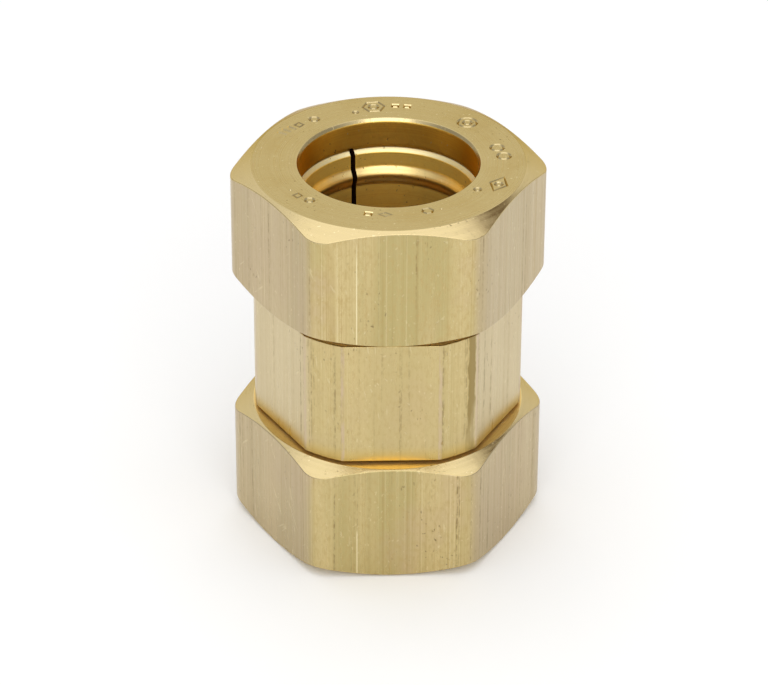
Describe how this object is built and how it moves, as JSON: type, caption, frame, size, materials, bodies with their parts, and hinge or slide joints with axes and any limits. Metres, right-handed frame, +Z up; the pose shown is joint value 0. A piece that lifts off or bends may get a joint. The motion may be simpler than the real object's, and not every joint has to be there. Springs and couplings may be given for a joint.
{
  "type": "compression fitting",
  "caption": "Straight brass compression coupling: hexagonal body with a hexagonal nut, split gripper ring and rubber gasket at each end, for joining two copper tubes.",
  "frame": {"origin": "centre of the lower nut's outer end face, which the fitting stands on", "axes": "+Z up along the tube's axis, -Y out of the body's front spanner flat"},
  "size_m": [0.041, 0.037, 0.0526],
  "materials": {
    "brass": "drawn flats and fine-turned ends, bright",
    "ring_brass": "fine-turned, satin",
    "washer_brass": "pressed sheet, satin",
    "rubber": "moulded, matt"
  },
  "bodies": {
    "body": {"body": "brass", "upper_gasket": "rubber", "lower_gasket": "rubber"},
    "upper_gripper": {"upper_gripper_ring": "ring_brass", "upper_thrust_washer": "washer_brass"},
    "upper_nut": {"upper_nut": "brass"},
    "lower_gripper": {"lower_gripper_ring": "ring_brass", "lower_thrust_washer": "washer_brass"},
    "lower_nut": {"lower_nut": "brass"}
  },
  "joints": [
    {"name": "upper_gripper_slide", "type": "slide", "parent": "body", "child": "upper_gripper", "axis": [0, 0, 1], "range_m": [-0.00091, 0.00541]},
    {"name": "upper_nut_turn", "type": "hinge", "parent": "upper_gripper", "child": "upper_nut", "pos_m": [0, 0, 0.04415], "axis": [0, 0, 1], "range_deg": [-180, 1080]},
    {"name": "lower_gripper_slide", "type": "slide", "parent": "body", "child": "lower_gripper", "axis": [0, 0, -1], "range_m": [-0.00031, 0.00601]},
    {"name": "lower_nut_turn", "type": "hinge", "parent": "lower_gripper", "child": "lower_nut", "pos_m": [0, 0, 0.00845], "axis": [0, 0, -1], "range_deg": [-60, 1200]}
  ],
  "couplings": [
    {"joint": "upper_gripper_slide", "follows": "upper_nut_turn", "m_per_rad": 0.00028648},
    {"joint": "lower_gripper_slide", "follows": "lower_nut_turn", "m_per_rad": 0.00028648}
  ]
}
